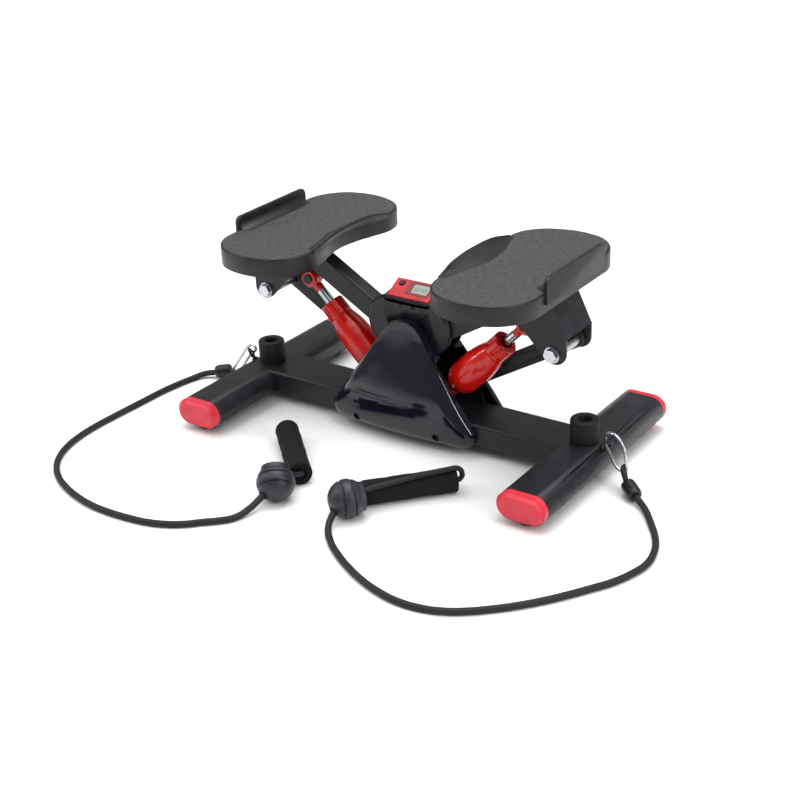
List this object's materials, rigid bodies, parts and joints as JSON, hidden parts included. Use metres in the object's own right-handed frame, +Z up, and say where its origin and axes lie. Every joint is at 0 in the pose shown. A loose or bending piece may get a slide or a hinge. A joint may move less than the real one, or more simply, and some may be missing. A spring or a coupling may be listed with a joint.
{
  "type": "stepper",
  "caption": "Low stepping machine with two studded pedals on swinging arms, red hydraulic cylinders, a small display and clip-on training cords with foam handles",
  "frame": {"origin": "on the floor, midway between the two foot bars and midway along them", "axes": "+X to the right along the cross beam, +Y away from the user along the foot bars, +Z up"},
  "size_m": [0.768, 0.533, 0.267],
  "materials": {
    "charcoal_paint": "satin powder coat, very fine grain",
    "red_plastic": "moulded, slightly glossy",
    "black_rubber": "matte",
    "zinc_steel": "bright zinc",
    "chrome": "polished",
    "black_metal": "black oxide",
    "gloss_black": "high gloss",
    "matte_black": "fine grained",
    "lcd": "grey-green display",
    "board": "green circuit board",
    "cell_steel": "button cells",
    "bush_plastic": "natural nylon",
    "tread": "studded tread, moulded",
    "red_paint": "gloss enamel",
    "cord_black": "braided sleeve over latex",
    "ball_grey": "turned bands",
    "foam_black": "soft foam"
  },
  "bodies": {
    "frame": {"foot_bar_left": "charcoal_paint", "foot_bar_right": "charcoal_paint", "cross_beam": "charcoal_paint", "end_caps": "red_plastic", "foot_pads": "black_rubber", "foot_pad_screws": "zinc_steel", "rubber_buffers": "black_rubber", "buffer_screws": "zinc_steel", "eye_bolts": "black_metal", "tower_front": "charcoal_paint", "tower_rear": "charcoal_paint", "front_cover": "gloss_black", "rear_cover": "gloss_black", "cover_screws": "black_metal", "hub_cover_front": "matte_black", "hub_cover_rear": "matte_black", "hub_screws": "black_metal", "console_housing": "matte_black", "console_panel": "red_plastic", "lcd_window": "lcd", "display_board": "board", "battery": "cell_steel", "rocker_axle": "zinc_steel", "link_axles": "zinc_steel", "axle_nuts": "zinc_steel", "link_spacers": "zinc_steel", "carabiners": "chrome", "cord_eyes": "cord_black", "ferrules": "matte_black", "left_cord": "cord_black", "right_cord": "cord_black", "handle_balls": "ball_grey", "foam_grips": "foam_black", "handle_loops": "cord_black"},
    "rocker": {"rocker_arms": "charcoal_paint", "rocker_bushes": "bush_plastic", "rod_bolts": "black_metal"},
    "left_link": {"left_link": "charcoal_paint"},
    "left_carrier": {"left_carrier": "charcoal_paint", "left_carrier_bolts": "chrome", "left_carrier_nuts": "chrome", "left_link_spacer": "zinc_steel", "left_pedal": "tread", "left_pedal_screws": "zinc_steel"},
    "left_cylinder": {"left_cylinder": "red_paint"},
    "left_dial": {"left_dial": "red_paint"},
    "left_rod": {"left_rod": "chrome"},
    "right_link": {"right_link": "charcoal_paint"},
    "right_carrier": {"right_carrier": "charcoal_paint", "right_carrier_bolts": "chrome", "right_carrier_nuts": "chrome", "right_link_spacer": "zinc_steel", "right_pedal": "tread", "right_pedal_screws": "zinc_steel"},
    "right_cylinder": {"right_cylinder": "red_paint"},
    "right_dial": {"right_dial": "red_paint"},
    "right_rod": {"right_rod": "chrome"},
    "button": {"mode_button": "matte_black"}
  },
  "joints": [
    {"name": "rocker_pivot", "type": "hinge", "parent": "frame", "child": "rocker", "pos_m": [0, 0, 0.12], "axis": [0, -1, 0], "range_deg": [-20, 20]},
    {"name": "right_link_pivot", "type": "hinge", "parent": "frame", "child": "right_link", "pos_m": [0.048, 0, 0.065], "axis": [0, -1, 0], "range_deg": [-21, 21]},
    {"name": "right_carrier_pivot", "type": "hinge", "parent": "rocker", "child": "right_carrier", "pos_m": [0.163, 0, 0.215], "axis": [0, -1, 0], "range_deg": [-21, 21]},
    {"name": "right_cylinder_pivot", "type": "hinge", "parent": "frame", "child": "right_cylinder", "pos_m": [0.048, 0, 0.065], "axis": [0, -1, 0], "range_deg": [-21, 21]},
    {"name": "right_rod_slide", "type": "slide", "parent": "right_cylinder", "child": "right_rod", "axis": [0.7103, 0, 0.7039], "range_m": [-0.0255, 0.0255]},
    {"name": "right_dial_turn", "type": "hinge", "parent": "right_cylinder", "child": "right_dial", "pos_m": [0.048, 0, 0.065], "axis": [0.7103, 0, 0.7039], "range_deg": [-150, 150]},
    {"name": "left_link_pivot", "type": "hinge", "parent": "frame", "child": "left_link", "pos_m": [-0.048, 0, 0.065], "axis": [0, -1, 0], "range_deg": [-21, 21]},
    {"name": "left_carrier_pivot", "type": "hinge", "parent": "rocker", "child": "left_carrier", "pos_m": [-0.163, 0, 0.215], "axis": [0, -1, 0], "range_deg": [-21, 21]},
    {"name": "left_cylinder_pivot", "type": "hinge", "parent": "frame", "child": "left_cylinder", "pos_m": [-0.048, 0, 0.065], "axis": [0, -1, 0], "range_deg": [-21, 21]},
    {"name": "left_rod_slide", "type": "slide", "parent": "left_cylinder", "child": "left_rod", "axis": [-0.7103, 0, 0.7039], "range_m": [-0.0255, 0.0255]},
    {"name": "left_dial_turn", "type": "hinge", "parent": "left_cylinder", "child": "left_dial", "pos_m": [-0.048, 0, 0.065], "axis": [-0.7103, 0, 0.7039], "range_deg": [-150, 150]},
    {"name": "mode_button_press", "type": "slide", "parent": "frame", "child": "button", "axis": [0, 0.4672, -0.8842], "range_m": [0, 0.0007], "stiffness_N_per_m": 600, "springref_m": -0.0005}
  ],
  "couplings": [
    {"joint": "right_link_pivot", "follows": "rocker_pivot", "ratio": 1},
    {"joint": "right_carrier_pivot", "follows": "rocker_pivot", "ratio": -1},
    {"joint": "right_cylinder_pivot", "follows": "rocker_pivot", "ratio": 0.9715},
    {"joint": "right_rod_slide", "follows": "rocker_pivot", "m_per_rad": 0.07148},
    {"joint": "left_link_pivot", "follows": "rocker_pivot", "ratio": 1},
    {"joint": "left_carrier_pivot", "follows": "rocker_pivot", "ratio": -1},
    {"joint": "left_cylinder_pivot", "follows": "rocker_pivot", "ratio": 0.9715},
    {"joint": "left_rod_slide", "follows": "rocker_pivot", "m_per_rad": -0.07148}
  ]
}
